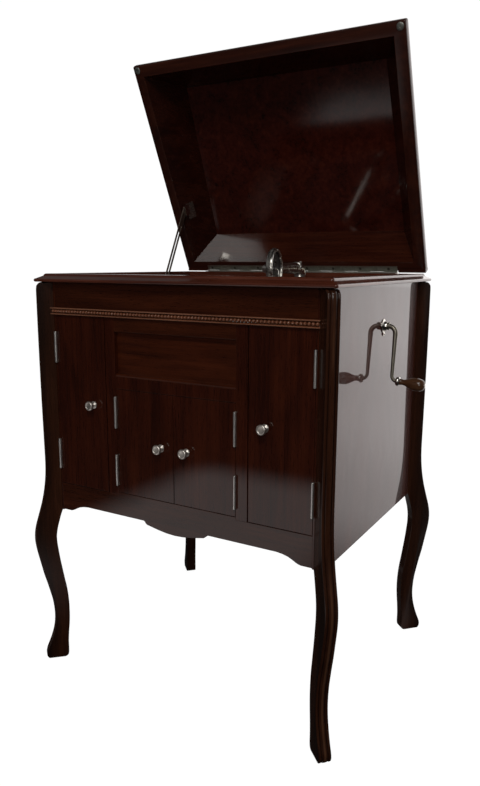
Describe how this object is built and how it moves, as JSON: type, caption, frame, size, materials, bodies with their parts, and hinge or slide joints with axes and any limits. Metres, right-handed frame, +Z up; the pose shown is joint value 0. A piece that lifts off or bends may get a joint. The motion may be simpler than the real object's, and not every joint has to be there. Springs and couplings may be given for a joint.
{
  "type": "gramophone cabinet",
  "caption": "Console gramophone: mahogany cabinet on plank cabriole legs with hinged lid, doors over record bays and horn, turntable, tonearm and side crank.",
  "frame": {"origin": "on the floor, below the middle of the whole outline with the lid open", "axes": "+X towards the crank side, +Y towards the back and the lid hinge, +Z up"},
  "size_m": [0.7606, 0.625, 1.3236],
  "materials": {
    "mahogany": "dark red-brown, polished",
    "inner_wood": "plain oiled",
    "nickel": "nickel plate",
    "steel": "bright drawn",
    "cast_iron": "black enamel",
    "brass": "machined",
    "felt": "wool felt",
    "handle_wood": "turned and varnished",
    "diaphragm": "dark"
  },
  "bodies": {
    "root": {"side_panel_left": "mahogany", "side_panel_right": "mahogany", "back_panel": "mahogany", "bottom_board": "inner_wood", "frieze_board": "mahogany", "apron_rail": "mahogany", "face_frame": "mahogany", "recess_panel": "mahogany", "bead_strip": "mahogany", "corner_posts": "mahogany", "legs": "mahogany", "partitions": "inner_wood", "motor_board": "mahogany", "top_lower_board": "mahogany", "top_upper_board": "mahogany", "tone_chamber": "inner_wood", "horn_elbow": "cast_iron", "door_hinge_fixed_leaves": "nickel", "hinge_pins": "steel", "lid_hinge_fixed_leaf": "nickel", "stay_stud": "nickel", "crank_escutcheon": "nickel", "motor_top_plate": "cast_iron", "motor_frame": "cast_iron", "tonearm_base": "nickel"},
    "tall_door_left": {"tall_door_left": "mahogany", "tall_knob_left": "nickel", "tall_leaves_left": "nickel"},
    "tall_door_right": {"tall_door_right": "mahogany", "tall_knob_right": "nickel", "tall_leaves_right": "nickel"},
    "centre_door_left": {"centre_door_left": "mahogany", "centre_knob_left": "nickel", "centre_leaves_left": "nickel"},
    "centre_door_right": {"centre_door_right": "mahogany", "centre_knob_right": "nickel", "centre_leaves_right": "nickel"},
    "lid": {"lid_rim": "mahogany", "lid_walls": "mahogany", "lid_crown": "mahogany", "lid_hinge_moving_leaf": "nickel", "lid_buffers": "nickel", "stay_bracket": "nickel"},
    "stay": {"stay_bar": "steel"},
    "turntable": {"turntable_platter": "nickel", "turntable_mat": "felt", "turntable_spindle": "steel"},
    "barrel": {"spring_barrel": "brass", "mainspring": "steel"},
    "winder": {"winding_arbor": "steel"},
    "idler": {"idler_gear": "brass"},
    "governor": {"governor": "brass"},
    "crank": {"crank_rod": "nickel"},
    "crank_grip": {"crank_handle": "handle_wood"},
    "tonearm": {"tonearm": "nickel"},
    "soundbox": {"soundbox": "nickel", "soundbox_diaphragm": "diaphragm", "needle_bar": "nickel"},
    "brake": {"brake_lever": "nickel"},
    "speed": {"speed_lever": "nickel"}
  },
  "joints": [
    {"name": "tall_door_left_swing", "type": "hinge", "parent": "root", "child": "tall_door_left", "pos_m": [-0.31622, -0.27206, 0.587], "axis": [0, 0, -1], "range_deg": [0, 110]},
    {"name": "tall_door_right_swing", "type": "hinge", "parent": "root", "child": "tall_door_right", "pos_m": [0.26858, -0.27206, 0.587], "axis": [0, 0, 1], "range_deg": [0, 110]},
    {"name": "centre_door_left_swing", "type": "hinge", "parent": "root", "child": "centre_door_left", "pos_m": [-0.16152, -0.27206, 0.519], "axis": [0, 0, -1], "range_deg": [0, 100]},
    {"name": "centre_door_right_swing", "type": "hinge", "parent": "root", "child": "centre_door_right", "pos_m": [0.11388, -0.27206, 0.519], "axis": [0, 0, 1], "range_deg": [0, 100]},
    {"name": "lid_close", "type": "hinge", "parent": "root", "child": "lid", "pos_m": [-0.02382, 0.25544, 0.851], "axis": [1, 0, 0], "range_deg": [0, 64.5]},
    {"name": "stay_turn", "type": "hinge", "parent": "lid", "child": "stay", "pos_m": [-0.30902, 0.19033, 1.00608], "axis": [1, 0, 0], "range_deg": [-32.3, 0]},
    {"name": "turntable_spin", "type": "hinge", "parent": "root", "child": "turntable", "pos_m": [-0.02382, -0.02446, 0.8], "axis": [0, 0, 1], "continuous": true},
    {"name": "barrel_spin", "type": "hinge", "parent": "root", "child": "barrel", "pos_m": [-0.08582, 0.00254, 0.695], "axis": [0, 0, 1], "continuous": true},
    {"name": "idler_spin", "type": "hinge", "parent": "root", "child": "idler", "pos_m": [-0.05836, -0.03828, 0.71], "axis": [0, 0, 1], "continuous": true},
    {"name": "governor_spin", "type": "hinge", "parent": "root", "child": "governor", "pos_m": [0.00378, -0.01446, 0.695], "axis": [0, 1, 0], "continuous": true},
    {"name": "crank_turn", "type": "hinge", "parent": "root", "child": "crank", "pos_m": [0.27618, 0.00254, 0.7519], "axis": [1, 0, 0], "continuous": true},
    {"name": "winder_spin", "type": "hinge", "parent": "root", "child": "winder", "pos_m": [-0.08582, 0.00254, 0.7], "axis": [0, 0, 1], "continuous": true},
    {"name": "crank_grip_spin", "type": "hinge", "parent": "crank", "child": "crank_grip", "pos_m": [0.32218, -0.01117, 0.6478], "axis": [0.9962, -0.0114, -0.0864], "continuous": true},
    {"name": "tonearm_swing", "type": "hinge", "parent": "root", "child": "tonearm", "pos_m": [0.02418, 0.17554, 0.83], "axis": [0, 0, 1], "range_deg": [-12, 32]},
    {"name": "soundbox_turn", "type": "hinge", "parent": "tonearm", "child": "soundbox", "pos_m": [0.06425, -0.0306, 0.861], "axis": [0.9816, 0.1908, 0], "range_deg": [-120, 0]},
    {"name": "brake_swing", "type": "hinge", "parent": "root", "child": "brake", "pos_m": [0.13418, -0.09846, 0.79], "axis": [0, 0, 1], "range_deg": [-2.6, 12]},
    {"name": "speed_set", "type": "hinge", "parent": "root", "child": "speed", "pos_m": [-0.19882, -0.16446, 0.79], "axis": [0, 0, 1], "range_deg": [-25, 25]}
  ],
  "couplings": [
    {"joint": "stay_turn", "follows": "lid_close", "ratio": -0.5},
    {"joint": "idler_spin", "follows": "turntable_spin", "ratio": -0.2},
    {"joint": "barrel_spin", "follows": "turntable_spin", "ratio": 0.028571},
    {"joint": "governor_spin", "follows": "turntable_spin", "ratio": 10},
    {"joint": "winder_spin", "follows": "crank_turn", "ratio": 0.33333}
  ]
}
